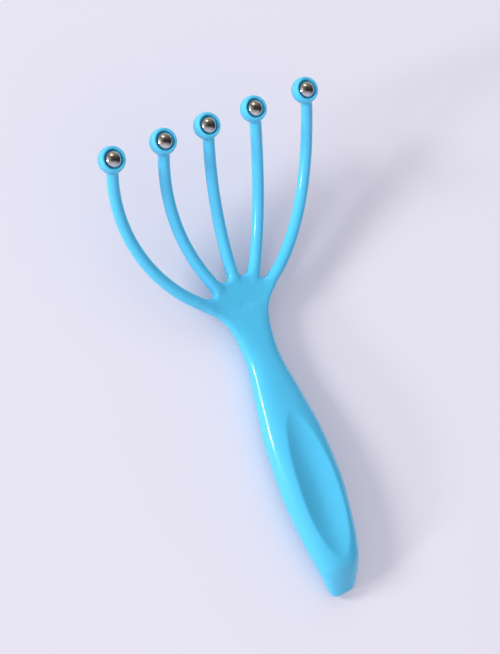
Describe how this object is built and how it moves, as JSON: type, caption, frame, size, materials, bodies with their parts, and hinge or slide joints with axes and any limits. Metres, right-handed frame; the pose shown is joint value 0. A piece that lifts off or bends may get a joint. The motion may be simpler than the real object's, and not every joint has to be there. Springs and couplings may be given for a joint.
{
  "type": "scalp massager brush",
  "caption": "Hand-held scalp massager with a waisted grip, a thumb recess and curved fingers that end in steel balls turning in round sockets.",
  "frame": {"origin": "middle of the bounding box in X and Y, on the table plane the brush lies on in Z", "axes": "+Y from the heel of the grip to the fingertips, +Z the way the balls face (up, when the brush lies on its back), +X to the right seen from the ball side"},
  "size_m": [0.1004, 0.205, 0.0407],
  "materials": {
    "body_plastic": "glossy injection-moulded cyan plastic",
    "ball_steel": "mirror-polished stainless steel"
  },
  "bodies": {
    "frame": {"frame": "body_plastic"},
    "ball_1": {"ball_1": "ball_steel"},
    "ball_2": {"ball_2": "ball_steel"},
    "ball_3": {"ball_3": "ball_steel"},
    "ball_4": {"ball_4": "ball_steel"},
    "ball_5": {"ball_5": "ball_steel"}
  },
  "joints": [
    {"name": "ball_1_roll", "type": "hinge", "parent": "frame", "child": "ball_1", "pos_m": [-0.0448, 0.0971, 0.0369], "axis": [1, 0, 0], "continuous": true},
    {"name": "ball_2_roll", "type": "hinge", "parent": "frame", "child": "ball_2", "pos_m": [-0.021, 0.0971, 0.0349], "axis": [1, 0, 0], "continuous": true},
    {"name": "ball_3_roll", "type": "hinge", "parent": "frame", "child": "ball_3", "pos_m": [0, 0.0971, 0.0331], "axis": [1, 0, 0], "continuous": true},
    {"name": "ball_4_roll", "type": "hinge", "parent": "frame", "child": "ball_4", "pos_m": [0.021, 0.0971, 0.0349], "axis": [1, 0, 0], "continuous": true},
    {"name": "ball_5_roll", "type": "hinge", "parent": "frame", "child": "ball_5", "pos_m": [0.0448, 0.0971, 0.0369], "axis": [1, 0, 0], "continuous": true}
  ]
}
